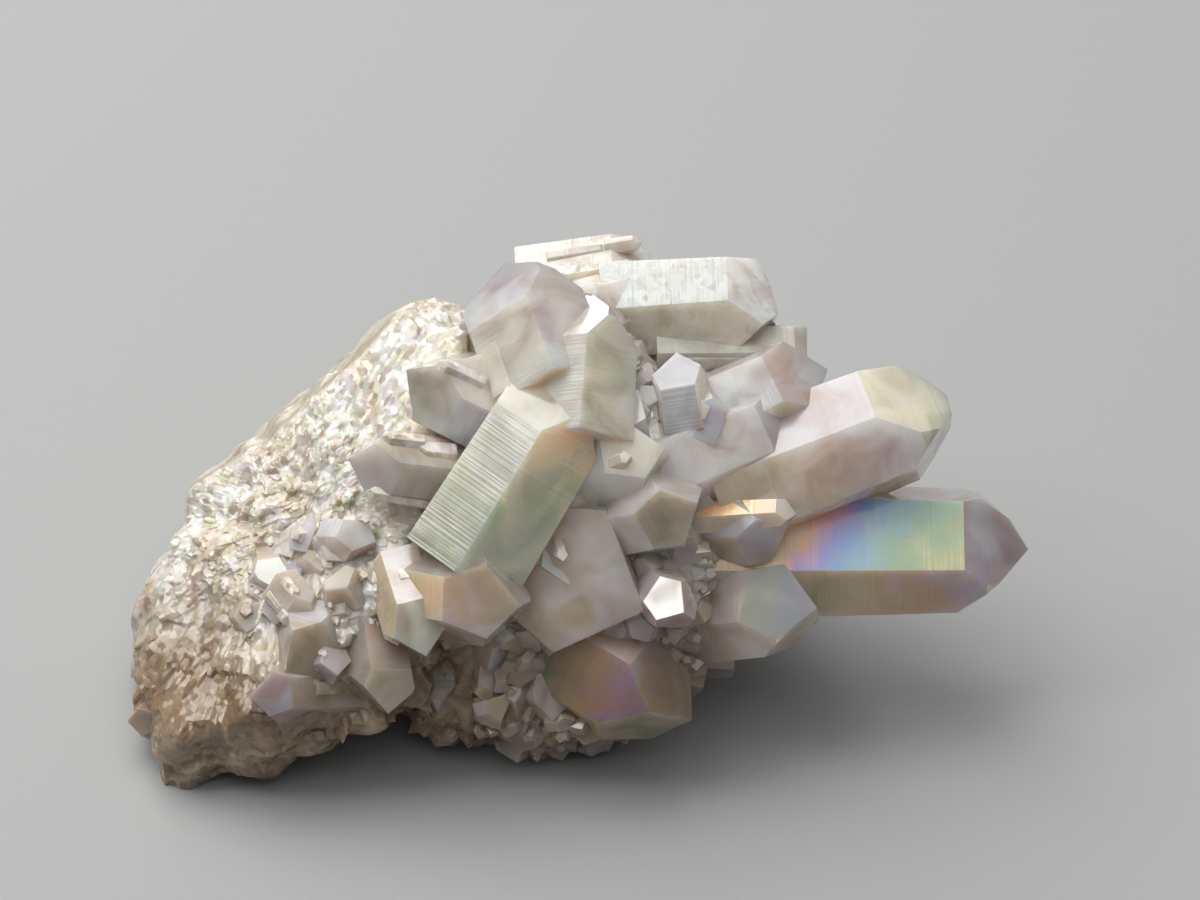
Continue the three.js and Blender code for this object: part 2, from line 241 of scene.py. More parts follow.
def point_planes(p, seed):
    """The planes (normal, reach) of a point: its root, six walls, six tip faces, and a break."""
    axis, up, side = point_frame(p)
    tip = np.array(p["tip"], float)
    half = p["width"] / 2
    cap_angle = math.radians(TIP_FACE_ANGLE)
    walls, caps = [], []
    for k in range(6):
        turn = math.radians(p["roll"] + 60 * k)
        out = math.cos(turn) * up + math.sin(turn) * side
        wall = unit(out + PRISM_TAPER * axis)
        wall_scale = p["walls"][k] if "walls" in p else 0.9 + 0.2 * chance(seed, k)
        walls.append((*wall, wall @ (tip + out * half * wall_scale)))
        cap = math.sin(cap_angle) * out + math.cos(cap_angle) * axis
        usual = 0.4 * chance(seed, k + 10) if k % 2 == 0 else -0.35 - 0.3 * chance(seed, k + 10)
        set_back = half * (p["caps"][k] if "caps" in p else usual)
        caps.append((*cap, cap @ (tip - axis * set_back)))
    planes = [(*-axis, -axis @ np.array(p["root"], float)), *walls, *caps]
    if p.get("snapped"):
        break_face = unit(
            axis
            + up * SNAP_SLANT * (chance(seed, 30) - 0.5)
            + side * SNAP_SLANT * (chance(seed, 31) - 0.5)
        )
        planes.append((*break_face, break_face @ (tip - axis * p["snapped"])))
    return np.array(planes)


def corners_behind(planes):
    """The corners of the convex solid that lies behind every plane."""
    normals, reach = planes[:, :3], planes[:, 3]
    i, j, k = TRIPLES[len(planes)]
    ij = np.cross(normals[i], normals[j])
    det = np.einsum("ij,ij->i", ij, normals[k])
    good = np.abs(det) > 1e-4
    i, j, k, ij, det = i[good], j[good], k[good], ij[good], det[good]
    corners = (
        np.cross(normals[j], normals[k]) * reach[i, None]
        + np.cross(normals[k], normals[i]) * reach[j, None]
        + ij * reach[k, None]
    ) / det[:, None]
    corners = corners[(corners @ normals.T <= reach + 1e-6).all(axis=1)]
    kept = []
    for corner in corners:
        if all(np.abs(corner - other).max() > 1e-3 for other in kept):
            kept.append(corner)
    return kept


def every_three(count):
    """Every choice of three numbers below count."""
    return np.array([(a, b, c) for a in range(count) for b in range(a) for c in range(b)]).T


TRIPLES = {13: every_three(13), 14: every_three(14)}


def solid_behind(planes):
    """(corners, faces) of the convex solid that lies behind every plane."""
    bm = bmesh.new()
    for corner in corners_behind(planes):
        bm.verts.new(corner)
    bmesh.ops.convex_hull(bm, input=bm.verts[:])
    bmesh.ops.delete(bm, geom=[v for v in bm.verts if not v.link_faces], context="VERTS")
    bmesh.ops.dissolve_limit(bm, angle_limit=0.01, verts=bm.verts[:], edges=bm.edges[:])
    bm.verts.index_update()
    corners = [tuple(v.co) for v in bm.verts]
    faces = [[v.index for v in f.verts] for f in bm.faces]
    bm.free()
    return corners, faces


def lump_reach(shape, ways):
    """How far a lump reaches from its centre along unit directions, before its waves."""
    total = np.zeros(len(ways))
    for looks, reach in shape["faces"]:
        normal = unit(looks)
        facing = np.clip(ways @ normal, 0, None)
        total += (facing / (reach - normal @ np.array(shape["centre"], float))) ** LUMP_ROUNDING
    return total ** (-1 / LUMP_ROUNDING)


def lump_waves(p):
    """How far the waves lift the lump's surface at places."""
    height = np.zeros(len(p))
    x, y, z = p.T
    for i, (length, high) in enumerate(LUMP_WAVES):
        k = 2 * math.pi / length
        height += (
            high
            * np.sin(k * x + 1.7 * i + 1.3 * np.sin(k * 0.7 * y))
            * np.sin(k * y + 0.9 * i + 1.1 * np.sin(k * 0.6 * z))
        )
        height += 0.5 * high * np.sin(k * 1.1 * z + 2.3 * i + np.sin(k * 0.8 * x))
    return height


def lump_surface(shape, ways):
    """Places on a lump's surface along unit directions from its centre."""
    places = np.array(shape["centre"], float) + ways * lump_reach(shape, ways)[:, None]
    return places + ways * (lump_waves(places) - LUMP_SHRINK)[:, None]


def spread_ways(count, cover=1.8):
    """Unit directions spread evenly over a ball, or the upper part of it."""
    i = np.arange(count)
    height = 1 - cover * (i + 0.5) / count
    flat = np.sqrt(1 - height**2)
    turn = i * GOLDEN_TURN
    return np.stack([flat * np.cos(turn), flat * np.sin(turn), height], axis=1)


def crop_points(crop, number):
    """One crop of smaller points, each leaning a little its own way."""
    made = []
    for i, way in enumerate(spread_ways(crop["count"])):
        if not crop["where"](way):
            continue
        seed = 1000 * (number + 1) + i
        lean = np.array([chance(seed, 1) - 0.2, chance(seed, 2) - 0.5, chance(seed, 3) - 0.5])
        axis = unit(way + CROP_LEAN * lean)
        reach = lump_reach(crop["on"], way[None])[0]
        surface = np.array(crop["on"]["centre"], float) + way * reach
        tip = surface + axis * between(crop["stands_out"], chance(seed, 4))
        if tip[2] > CROP_TOP:
            continue
        width = between(crop["widths"], chance(seed, 5))
        root = surface - axis * CROP_DEPTH * width
        made.append(point("crop", tuple(root), tuple(tip), width, 120 * chance(seed, 6)))
    return made


def rim_share(places):
    """How much places on the sugary lump belong to its smooth rim."""
    centre = np.array(SUGARY_LUMP["centre"], float)
    ways = places - centre
    ways /= np.linalg.norm(ways, axis=1)[:, None]
    looks, reach = next(face for face in SUGARY_LUMP["faces"] if face[0] == RIM_LOOKS)
    normal = unit(looks)
    rim = (np.clip(ways @ normal, 0, None) / (reach - normal @ centre)) ** LUMP_ROUNDING
    return share(rim / lump_reach(SUGARY_LUMP, ways) ** -LUMP_ROUNDING, *RIM_SPREAD)


def broken_facets(v, size, depth):
    """Height of a surface broken into small facets, each tilted its own way."""
    middle = noise.voronoi(v / size)[1][0] * size
    tilt = noise.cell_vector(middle * 31.7)
    return depth * (tilt - Vector((0.5, 0.5, 0.5))).dot(v - middle)


def fine_relief(places, shape):
    """Small-scale relief of the broken lump: facets, pits and short ledges, or growth bands."""
    height = np.empty(len(places))
    sugary = shape is SUGARY_LUMP
    rim = rim_share(places) if sugary else np.zeros(len(places))
    foot = 1 - share(places[:, 2], *FOOT_TOP)
    across = places @ np.array(BANDS_ACROSS)
    for i, place in enumerate(places):
        v = Vector(place)
        soft = 0.34 * noise.noise(v / 3.4) + 0.16 * noise.noise(v / 1.5)
        ledge = math.floor(noise.noise(v / 5 + Vector((7, 3, 1))) * 4) / 8
        rough = soft + ledge + broken_facets(v, 1.7, 0.5) + broken_facets(v, 0.85, 0.55)
        glassy = soft + broken_facets(v, 3.1, 0.6)
        wave = noise.noise(v / 4)
        bands = 0.09 * math.sin(2 * math.pi * (across[i] / BAND_STEP + 1.5 * wave)) + 0.3 * wave
        other = (1 - foot[i]) * rough + foot[i] * glassy
        height[i] = (1 - rim[i]) * other + rim[i] * bands
    return height


def new_object(name, corners, faces, owner):
    """A mesh object in millimetres. owner says on each face which solid it belongs to."""
    mesh = bpy.data.meshes.new(name)
    mesh.from_pydata([tuple(c) for c in corners], [], faces)
    mark = mesh.attributes.new("owner", "INT", "FACE")
    mark.data.foreach_set("value", np.full(len(mesh.polygons), owner, np.int32))
    made = bpy.data.objects.new(name, mesh)
    bpy.context.scene.collection.objects.link(made)
    return made


def fine_lump(shape, splits, owner):
    """A lump with its small-scale relief, kept inside the source's box."""
    bm = bmesh.new()
    bmesh.ops.create_icosphere(bm, subdivisions=splits, radius=1)
    ways = np.array([v.co for v in bm.verts])
    ways /= np.linalg.norm(ways, axis=1)[:, None]
    faces = [[v.index for v in f.verts] for f in bm.faces]
    bm.free()
    places = lump_surface(shape, ways)
    places += ways * fine_relief(places, shape)[:, None]
    return new_object("lump", np.clip(places, *ROOM), faces, owner)


def merged(parts, name):
    """One object of the solids in parts, which don't touch one another."""
    corners, faces, owners = [], [], []
    for planes, owner in parts:
        own_corners, own_faces = solid_behind(planes)
        start = len(corners)
        corners.extend(own_corners)
        faces.extend([[start + i for i in face] for face in own_faces])
        owners.extend([owner] * len(own_faces))
    made = new_object(name, corners, faces, 0)
    made.data.attributes["owner"].data.foreach_set("value", np.array(owners, np.int32))
    return made


def side_points(parent, seed):
    """Smaller points along the sides of a large one, kept off its coated walls."""
    rules = SIDE_POINTS
    axis, up, side = point_frame(parent)
    length = np.linalg.norm(np.subtract(parent["tip"], parent["root"]))
    coated = [int(face[1]) for name, face in COATS if name == parent["name"] and face[0] == "W"]
    made = []
    for n in range(round(between((rules["fewest"], rules["most"]), chance(seed, 40)))):
        own = seed * 100 + n

        def pick(step, ends):
            return between(ends, chance(own, step))

        turn = 2 * math.pi * chance(own, 1)
        faced = [math.cos(turn - math.radians(parent["roll"] + 60 * k)) for k in coated]
        if any(f > COATED_FACE_KEEPS for f in faced):
            continue
        out = math.cos(turn) * up + math.sin(turn) * side
        width = parent["width"] * pick(2, rules["widths"])
        offset = parent["width"] / 2 - width / 2 + pick(3, rules["stands_out"])
        lean = np.array([chance(own, step) - 0.5 for step in (4, 5, 6)])
        own_axis = unit(axis + 2 * rules["lean"] * lean)
        tip = np.array(parent["tip"]) - axis * length * pick(7, rules["set_back"]) + out * offset
        root = tip - own_axis * length * pick(8, rules["lengths"])
        if in_room(tip, 0.5 * width):
            made.append(point("side", tuple(root), tuple(tip), width, parent["roll"]))
    return made


def in_room(place, margin):
    """Whether a place is inside the source's box by a margin."""
    return (place - margin >= ROOM[0]).all() and (place + margin <= ROOM[1]).all()


def booled(base, others, operation):
    """base joined with, or cut by, the other objects, which are then deleted."""
    group = bpy.data.collections.new("operands")
    bpy.context.scene.collection.children.link(group)
    for other in others:
        group.objects.link(other)
    step = base.modifiers.new("step", "BOOLEAN")
    step.operation = operation
    step.operand_type = "COLLECTION"
    step.collection = group
    step.solver = "MANIFOLD"
    graph = bpy.context.evaluated_depsgraph_get()
    mesh = bpy.data.meshes.new_from_object(base.evaluated_get(graph))
    base.modifiers.clear()
    old = base.data
    base.data = mesh
    bpy.data.meshes.remove(old)
    for other in others:
        bpy.data.meshes.remove(other.data)
    bpy.data.collections.remove(group)
    return base


def split_long_edges(mesh):
    """Split a mesh's faces until no edge is long. The shape stays as it is."""
    bm = bmesh.new()
    bm.from_mesh(mesh)
    bmesh.ops.triangulate(bm, faces=bm.faces[:])
    for _ in range(6):
        long = [e for e in bm.edges if e.calc_length() > LONGEST_EDGE]
        if not long:
            break
        bmesh.ops.subdivide_edges(bm, edges=long, cuts=1)
        bmesh.ops.triangulate(bm, faces=[f for f in bm.faces if len(f.verts) > 3])
    bm.to_mesh(mesh)
    bm.free()


def hills():
    """What lies below the specimen: a block whose top is flat with low hills on it."""
    size = UNDERSIDE
    nx, ny = size["length"] // size["step"], size["depth"] // size["step"]
    xs = np.linspace(-size["length"] / 2, size["length"] / 2, nx + 1)
    ys = np.linspace(-size["depth"] / 2, size["depth"] / 2, ny + 1)
    x, y = (a.ravel() for a in np.meshgrid(xs, ys, indexing="ij"))
    k = 2 * math.pi / HILL_LENGTH
    along_x = np.sin(k * x + 2 * np.sin(0.8 * k * y))
    along_y = np.sin(k * y + 1.5 * np.sin(0.7 * k * x))
    top = np.maximum(0, HILL_HEIGHT * (along_x + along_y) - HILL_SINKS)
    low = np.full(len(x), -float(size["below"]))
    corners = np.concatenate([np.stack([x, y, top], axis=1), np.stack([x, y, low], axis=1)])
    n = len(x)

    def at(i, j):
        return i * (ny + 1) + j

    faces = []
    for i in range(nx):
        for j in range(ny):
            square = [at(i, j), at(i + 1, j), at(i + 1, j + 1), at(i, j + 1)]
            faces.append(square)
            faces.append([n + q for q in reversed(square)])
    rim = [at(i, 0) for i in range(nx)] + [at(nx, j) for j in range(ny)]
    rim += [at(i, ny) for i in range(nx, 0, -1)] + [at(0, j) for j in range(ny, 0, -1)]
    for q, r in zip(rim, rim[1:] + rim[:1]):
        faces.append([r, q, n + q, n + r])
    return new_object("hills", corners, faces, UNDERSIDE_OWNER)


def coat(*stops, skew=0, strength=0.35, tone=None):
    """A face's coat. Its film phase runs through stops (millimetres from the tip, phase)."""
    return dict(stops=stops, skew=skew, strength=strength, tone=tone)


# The coat on the faces where it shows most. A face is W for a wall or C for a cap of the tip,
# with its number. Phases go through the film's colours, from 0, yellow, to 1, yellow again.
COATS = {
    # The big point's top wall: its coat is real, but its strong rainbow band is partly a painted
    # reflection.
    ("big point", "W0"): coat(
        (5.3, 0.95), (9.5, 0.8), (12.6, 0.62), (14.7, 0.5), (16, 0.38), (17.3, 0.25),
        (18.2, 0.13), (19.6, 0), skew=-0.7, strength=2.2, tone=0.5),
    ("big point", "W1"): coat((4, 0.3), (10, 0.15), (18, 0), (24, -0.12), strength=0.6, tone=0.5),
    ("big point", "W5"): coat((0, 0.28), strength=0.3),
    ("big point", "C0"): coat((0, 0.36), strength=0.5, tone=0.6),
    ("shoulder point", "W0"): coat((0, 0.36), (12, 0.28), strength=0.3, tone=0.45),
    ("shoulder point", "C0"): coat((0, 0.8), (5, 0.92), strength=0.65),
    ("shoulder point", "C2"): coat((0, 0.34), strength=0.4),
    ("shoulder point", "W1"): coat((3, 0.5), (7, 0.4), (12, 0.3), (18, 0.05), strength=0.3, tone=1),
    ("green prism", "W0"): coat((0, 0.9), strength=0.35),
    ("white wedge", "C0"): coat((0, 0.36), (5, 0.28), strength=0.35),
    ("long slant", "W0"): coat((4, 0.8), (20, 0.9), strength=0.45, tone=0.45),
    ("long slant", "W1"): coat(
        (3, 0.16), (5, 0.1), (8, -0.02), (13, -0.12), (20, -0.2), strength=0.95, tone=0.7),
    ("long slant", "C0"): coat((0, 0.55), (4, 0.95), strength=0.35),
    # The lower point's very dark wall is partly painted shade, as it lies low in front.
    ("lower point", "W0"): coat(
        (1, 0.4), (4, 0.32), (6, 0.2), (8, 0.1), (14, -0.04), strength=0.55, tone=0.05),
    ("lower point", "W1"): coat((2, 0.93), (10, 1.0), strength=0.7, tone=0.55),
    ("lower point", "W5"): coat((2, 0.42), (5, 0.24), (12, 0.05), strength=0.5, tone=0.7),
    ("lower point", "C5"): coat((0, 0.2), strength=0.35),
    ("lower point", "C0"): coat((0, 0.2), strength=0.3),
    ("lower point", "C1"): coat((0, 0.93), strength=0.5),
    ("pink point", "C0"): coat((0, 0.18), strength=0.5, tone=0.6),
    ("pink point", "W0"): coat((0, 0.22), (7, 0.1), strength=0.75, tone=0.6),
    ("green face", "C0"): coat((0, 0.8), strength=0.35),
    ("green face", "W1"): coat((0, 0.2), (4, 0.05), strength=0.8, tone=0.4),
    ("tooth", "W4"): coat((0, 0.95), (3, 0.2), strength=0.45, tone=0.65),
    ("tooth", "C4"): coat((0, 0.93), strength=0.6, tone=0.75),
    # The brown end's dark face is partly a painted reflection of dark surroundings.
    ("brown end", "C0"): coat((0, 0.12), (2, 0.0), strength=0.5, tone=0.35),
    ("lilac cap", "C4"): coat((0, 0.4), strength=0.4),
    ("cloud low left", "C4"): coat((0, 0.36), strength=0.35),
    # Full tone on these glint faces is a painted highlight, on top of the real glints from the
    # accent lamps.
    ("glint point", "C4"): coat((0, 0.25), strength=0.2, tone=1),
    ("low glint", "C0"): coat((0, 0.6), strength=0.1, tone=1),
    ("spark", "C0"): coat((0, 0), strength=0.2, tone=1),
    ("broken stub", "W0"): coat((0, 0.5), (6, 0.62), strength=0.5, tone=0.35),
    # The bar strip's bright orange face is a painted glint: a strong coat at full tone.
    ("bar strip", "W0"): coat((0, 0.13), strength=2.6, tone=1),
    ("bar point", "W0"): coat((0, 0.1), (12, 0), strength=0.3),
    ("nook green", "C0"): coat((0, 0.92), strength=0.5),
    ("nook grey", "W4"): coat((0, 0.5), strength=0.4, tone=0.4),
    ("nook grey", "C4"): coat((0, 0.45), strength=0.4, tone=0.35),
    ("nook dark", "C0"): coat((0, 0.5), strength=0.45, tone=0.35),
    ("heart", "C0"): coat((0, 0.2), (12, 0.08), strength=0.45, tone=0.95),
    # The under point's dark tip face is partly painted shade, under the big point.
    ("under point", "C0"): coat((0, 0.1), (5, 0.85), strength=0.4, tone=0.25),
}
# Points whose faces are snapped and frosted.
FROSTED_POINTS = ("broken stub", "top block", "top back block")
# Film phases that other faces have: yellow, pink, lilac, blue, pale green.
USUAL_PHASES = (0, 0.05, 0.18, 0.25, 0.3, 0.35, 0.42, 0.6, 0.8, 0.92)


def inside_any(places, solids, clearance):
    """Which places lie in, or within clearance of, any of the solids given by their planes."""
    found = np.zeros(len(places), bool)
    for planes in solids:
        gap = (places @ planes[:, :3].T - planes[:, 3]).max(axis=1)
        found |= gap < clearance
    return found


def druse_grains(crop, number, solids):
    """Small points that cover a lump, left out where a larger point stands."""
    ways = spread_ways(crop["count"], cover=2)
    places = lump_surface(crop["on"], ways)
    free = ~inside_any(places, solids, 0.15) & (places[:, 2] > 0.3)
    grains = []
    for i in np.flatnonzero(free):
        seed = 20000 * (number + 1) + int(i)
        lean = np.array([chance(seed, s) - 0.5 for s in (1, 2, 3)]) * 2
        axis = unit(ways[i] + crop["lean"] * lean)
        width = between(crop["widths"], chance(seed, 5) ** 2)
        tip = places[i] + axis * between(crop["stands_out"], chance(seed, 4))
        root = places[i] - axis * (0.7 + 0.5 * width)
        if in_room(tip, 0.6 * width):
            grains.append(point("grain", tuple(root), tuple(tip), width, 120 * chance(seed, 6)))
    return grains


def apart(grains):
    """Groups of grains in which no two touch."""
    groups = []
    for planes, owner, middle, radius in grains:
        for group in groups:
            near = np.linalg.norm(group["middles"][: group["n"]] - middle, axis=1)
            if (near > group["radii"][: group["n"]] + radius).all():
                break
        else:
            group = dict(middles=np.zeros((8000, 3)), radii=np.zeros(8000), n=0, parts=[])
            groups.append(group)
        group["middles"][group["n"]] = middle
        group["radii"][group["n"]] = radius
        group["n"] += 1
        group["parts"].append((planes, owner))
    return [group["parts"] for group in groups]


# The specimen's one body.
large = [*POINTS]
for number, crop in enumerate(CROPS):
    large.extend(crop_points(crop, number))
for i, parent in enumerate([*large]):
    if parent["name"] not in BARE_POINTS:
        large.extend(side_points(parent, i + 1))
large_planes = [point_planes(p, i + 1) for i, p in enumerate(large)]
body = fine_lump(SUGARY_LUMP, 7, SUGARY_OWNER)
operands = [fine_lump(CORE_LUMP, 5, CORE_OWNER)]
for i, planes in enumerate(large_planes):
    operands.append(new_object("point", *solid_behind(planes), i))
body = booled(body, operands, "UNION")
everyone = [*large]
small = []
for number, crop in enumerate(DRUSE):
    for grain in druse_grains(crop, number, large_planes):
        owner = len(everyone)
        everyone.append(grain)
        planes = point_planes(grain, owner)
        middle = (np.array(grain["root"]) + np.array(grain["tip"])) / 2
        length = np.linalg.norm(np.subtract(grain["tip"], grain["root"]))
        radius = math.hypot(length / 2, 0.62 * grain["width"])
        small.append((planes, owner, middle, radius))
batches = [merged(parts, "grains") for parts in apart(small)]
body = booled(body, batches, "UNION")
body = booled(body, [hills()], "DIFFERENCE")
split_long_edges(body.data)
body.name = "quartz_looks"

# How far, in millimetres, the specimen's other parts shut a place in. How shut in a place is sets
# the painted shade in its nooks.
CROWDING_REACH = 5


def crowding(mesh):
    """For each vertex, how much of its view is shut in by the specimen itself."""
    mesh.calc_loop_triangles()
    tree = BVHTree.FromPolygons(
        [v.co for v in mesh.vertices], [tuple(t.vertices) for t in mesh.loop_triangles]
    )
    ways = [Vector(w) for w in spread_ways(24)]
    shut = np.empty(len(mesh.vertices))
    for i, vertex in enumerate(mesh.vertices):
        normal = vertex.normal
        start = vertex.co + 0.08 * normal
        seen = most = 0.0
        for way in ways:
            facing = way.dot(normal)
            if facing < 0.15:
                continue
            most += facing
            distance = tree.ray_cast(start, way, CROWDING_REACH)[3]
            seen += facing * (1 if distance is None else distance / CROWDING_REACH)
        shut[i] = 1 - seen / most if most else 1
    return shut


def read(owner, name, count, width=1):
    """One property of all a mesh's parts, as an array."""
    values = np.empty(count * width)
    owner.foreach_get(name, values)
    return values if width == 1 else values.reshape(-1, width)


def read_whole(owner, name, count):
    values = np.empty(count, np.int32)
    owner.foreach_get(name, values)
    return values


# Where a point's walls and tip faces are in its list of planes.
FIRST_WALL, FIRST_CAP, LAST_CAP = 1, 7, 12


def plane_number(face):
    return {"W": FIRST_WALL, "C": FIRST_CAP}[face[0]] + int(face[1])


def corner_marks(mesh, points):
    """Write what the looks need to know at each corner of each face, from the face's own point."""
    faces, corners = len(mesh.polygons), len(mesh.loops)
    owner = read_whole(mesh.attributes["owner"].data, "value", faces)
    normal = read(mesh.polygons, "normal", faces, 3)
    face_of = np.repeat(np.arange(faces), read_whole(mesh.polygons, "loop_total", faces))
    vertex = read_whole(mesh.loops, "vertex_index", corners)
    place = read(mesh.vertices, "co", len(mesh.vertices), 3)[vertex]
    height, towards_front = place[:, 2], -place[:, 1]

    axes = np.array([point_frame(p)[0] for p in points])
    tips = np.array([p["tip"] for p in points], float)
    widths = np.array([p["width"] for p in points])
    planes = [point_planes(p, i + 1)[: LAST_CAP + 1, :3] for i, p in enumerate(points)]
    normals = np.array(planes)
    own = np.maximum(owner, 0)
    plane = np.einsum("fkc,fc->fk", normals[own], normal).argmax(axis=1)
    plane[owner < 0] = -1
    on = owner[face_of] >= 0
    o, at = own[face_of], plane[face_of]
    along = np.where(on, np.einsum("cx,cx->c", tips[o] - place, axes[o]), 0)
    width = widths[o]

    # Every face has its own tone, film phase, slope of the phase and strength of the coat.
    rng = np.random.default_rng(7)
    each = (len(points), LAST_CAP + 2)
    tone = rng.uniform(-1, 1, len(points))[o] * on
    face_tone = rng.uniform(-1, 1, each)[o, at] * on
    film = rng.choice(USUAL_PHASES, each)[o, at]
    film = film + rng.uniform(-0.03, 0.03, each)[o, at] * along
    strength = rng.uniform(0.05, 0.45, each)[o, at] * on
    tones = 0.74 + 0.08 * tone + 0.07 * face_tone
    for (name, face), look in COATS.items():
        i = next(i for i, p in enumerate(points) if p["name"] == name)
        k = plane_number(face)
        here = (o == i) & (at == k) & on
        across = (place - tips[i]) @ np.cross(axes[i], normals[i][k])
        distances, phases = zip(*look["stops"])
        film[here] = np.interp(along + look["skew"] * across, distances, phases)[here]
        strength[here] = look["strength"]
        if look["tone"] is not None:
            tones[here] = look["tone"]

    # Wide points are clear towards their tips.
    clear = np.where(on, np.clip(1.1 - along / (0.9 * width), 0, 1), 0) * share(width, 3, 8)
    # The left's small points are half sugary, and snapped ones are frosted.
    small_grain = on & (width < 2.5) & (place[:, 0] < -8)
    frosted = np.array([p["name"] in FROSTED_POINTS for p in points])[o] & on
    # Iron stains what lies low in front, and the foot of the sugary lump most; this brown is partly
    # painted shade.
    low = 0.85 * (1 - share(height, 2, 25))
    foot = 1.3 * (1 - share(height, 8, 16))
    low = np.where(on & ~small_grain, low, np.maximum(low, foot))
    marks = dict(
        along=along, film=film, coat=strength, clear=clear, tone=tones,
        striated=(at >= FIRST_WALL) & (at < FIRST_CAP),
        sugary=np.where(on, np.maximum(0.75 * small_grain, 0.4 * frosted), 1),
        banded=(owner[face_of] == SUGARY_OWNER) * rim_share(place),
        iron_and_shade=low * share(towards_front, -4, 12),
        # Painted shade: how shut in each corner is, to darken the nooks.
        nook_shade=crowding(mesh)[vertex],
        size=np.where(on, share(width, 0.5, 7), 0.35),
    )
    for name, values in marks.items():
        mark = mesh.attributes.new(name, "FLOAT", "CORNER")
        mark.data.foreach_set("value", values.astype(np.float32))


def add(tree, kind, inputs=None, **settings):
    """A node of a tree, with its settings and its inputs, which are values or other sockets."""
    made = tree.nodes.new(kind)
    for name, value in settings.items():
        setattr(made, name, value)
    for name, value in (inputs or {}).items():
        if isinstance(value, bpy.types.NodeSocket):
            tree.links.new(value, made.inputs[name])
        else:
            made.inputs[name].default_value = value
    return made


def mark_of(tree, name):
    """One of the corner marks."""
    return add(tree, "ShaderNodeAttribute", attribute_name=name).outputs["Fac"]


def math_of(tree, operation, a, b, clamp=False):
    made = add(tree, "ShaderNodeMath", {0: a, 1: b}, operation=operation, use_clamp=clamp)
    return made.outputs[0]


def product(tree, first, *others, clamp=False):
    """Values multiplied together. clamp holds the last product between 0 and 1."""
    for n, other in enumerate(others, 1):
        first = math_of(tree, "MULTIPLY", first, other, clamp and n == len(others))
    return first


def total(tree, first, *others):
    """Values added together."""
    for other in others:
        first = math_of(tree, "ADD", first, other)
    return first


def mixed(tree, share, a, b, blend="MIX"):
    """Colour a with a share of colour b mixed in."""
    made = tree.nodes.new("ShaderNodeMix")
    made.data_type = "RGBA"
    made.blend_type = blend
    for i, value in ((0, share), (6, a), (7, b)):
        if isinstance(value, bpy.types.NodeSocket):
            tree.links.new(value, made.inputs[i])
        elif i == 0:
            made.inputs[i].default_value = value
        else:
            made.inputs[i].default_value = (*value, 1)
    return made.outputs[2]


def ramp_of(tree, share, stops):
    """The colour at a share of the way through stops (share, colour)."""
    made = tree.nodes.new("ShaderNodeValToRGB")
    tree.links.new(share, made.inputs[0])
    while len(made.color_ramp.elements) < len(stops):
        made.color_ramp.elements.new(0.5)
    for element, (at, colour) in zip(made.color_ramp.elements, stops):
        element.position = at
        element.color = (*colour, 1)
    return made.outputs[0]


def spread(tree, value, low, high, to_low=0.0, to_high=1.0):
    """value's range from low to high mapped to another range, and held there."""
    return add(tree, "ShaderNodeMapRange", {
        "Value": value, "From Min": low, "From Max": high, "To Min": to_low, "To Max": to_high,
    }).outputs[0]


def noise_of(tree, spot, scale, detail=2):
    """Soft noise at places."""
    return add(tree, "ShaderNodeTexNoise", {
        "Vector": spot, "Scale": scale, "Detail": detail,
    }).outputs["Fac"]


def lines_of(tree, along, scale, detail):
    """Noise that varies one way only."""
    return add(tree, "ShaderNodeTexNoise", {
        "W": along, "Scale": scale, "Detail": detail,
    }, noise_dimensions="1D").outputs["Fac"]


def vector_of(tree, operation, a, b=None, output=0, **inputs):
    inputs = {0: a, **inputs} if b is None else {0: a, 1: b, **inputs}
    return add(tree, "ShaderNodeVectorMath", inputs, operation=operation).outputs[output]


# How far places are bent, in metres.
BEND = 0.006
# Heights of the ripples on every face and of the lines across the walls, in metres.
RIPPLE, STRIATION = 0.00016, 0.00004
CLOUDY = (0.64, 0.54, 0.43), (0.94, 0.89, 0.81)
VEIL = (0.95, 0.93, 0.92)
SUGAR = (0.64, 0.58, 0.47), (0.81, 0.79, 0.76)
SUGAR_STAIN = (0.62, 0.46, 0.26)
GROWTH_BAND = (0.38, 0.32, 0.21), (0.60, 0.56, 0.49)
# Brown of iron stains, also used for painted shade.
IRON_BROWN_AND_SHADE = (0.34, 0.23, 0.12), (0.20, 0.12, 0.06)
# The film's colours at its phases.
FILM_COLOURS = [
    (0.0, (0.86, 0.70, 0.38)),
    (0.13, (0.84, 0.48, 0.24)),
    (0.25, (0.66, 0.38, 0.54)),
    (0.38, (0.40, 0.34, 0.70)),
    (0.5, (0.25, 0.42, 0.70)),
    (0.62, (0.34, 0.52, 0.58)),
    (0.78, (0.36, 0.50, 0.36)),
    (0.9, (0.46, 0.54, 0.27)),
    (1.0, (0.86, 0.70, 0.38)),
]


def bent_places(tree, spot):
    """Places bent out of true, so that clouds and veils drawn at them look drawn out."""
    bend = add(tree, "ShaderNodeTexNoise", {"Vector": spot, "Scale": 260, "Detail": 0})
    bend = vector_of(tree, "SUBTRACT", bend.outputs["Color"], (0.5, 0.5, 0.5))
    return vector_of(tree, "ADD", spot, vector_of(tree, "MULTIPLY", bend, (BEND, BEND, BEND)))


def tilted_cells(tree, spot, scale, tilt):
    """The normal where the surface's cells lean each their own way, and a random cell colour."""
    cells = add(tree, "ShaderNodeTexVoronoi", {"Vector": spot, "Scale": scale}).outputs["Color"]
    own = vector_of(tree, "SUBTRACT", cells, (0.5, 0.5, 0.5))
    lean = vector_of(tree, "SCALE", own, Scale=tilt)
    normal = add(tree, "ShaderNodeNewGeometry").outputs["Normal"]
    return vector_of(tree, "NORMALIZE", vector_of(tree, "ADD", normal, lean)), cells


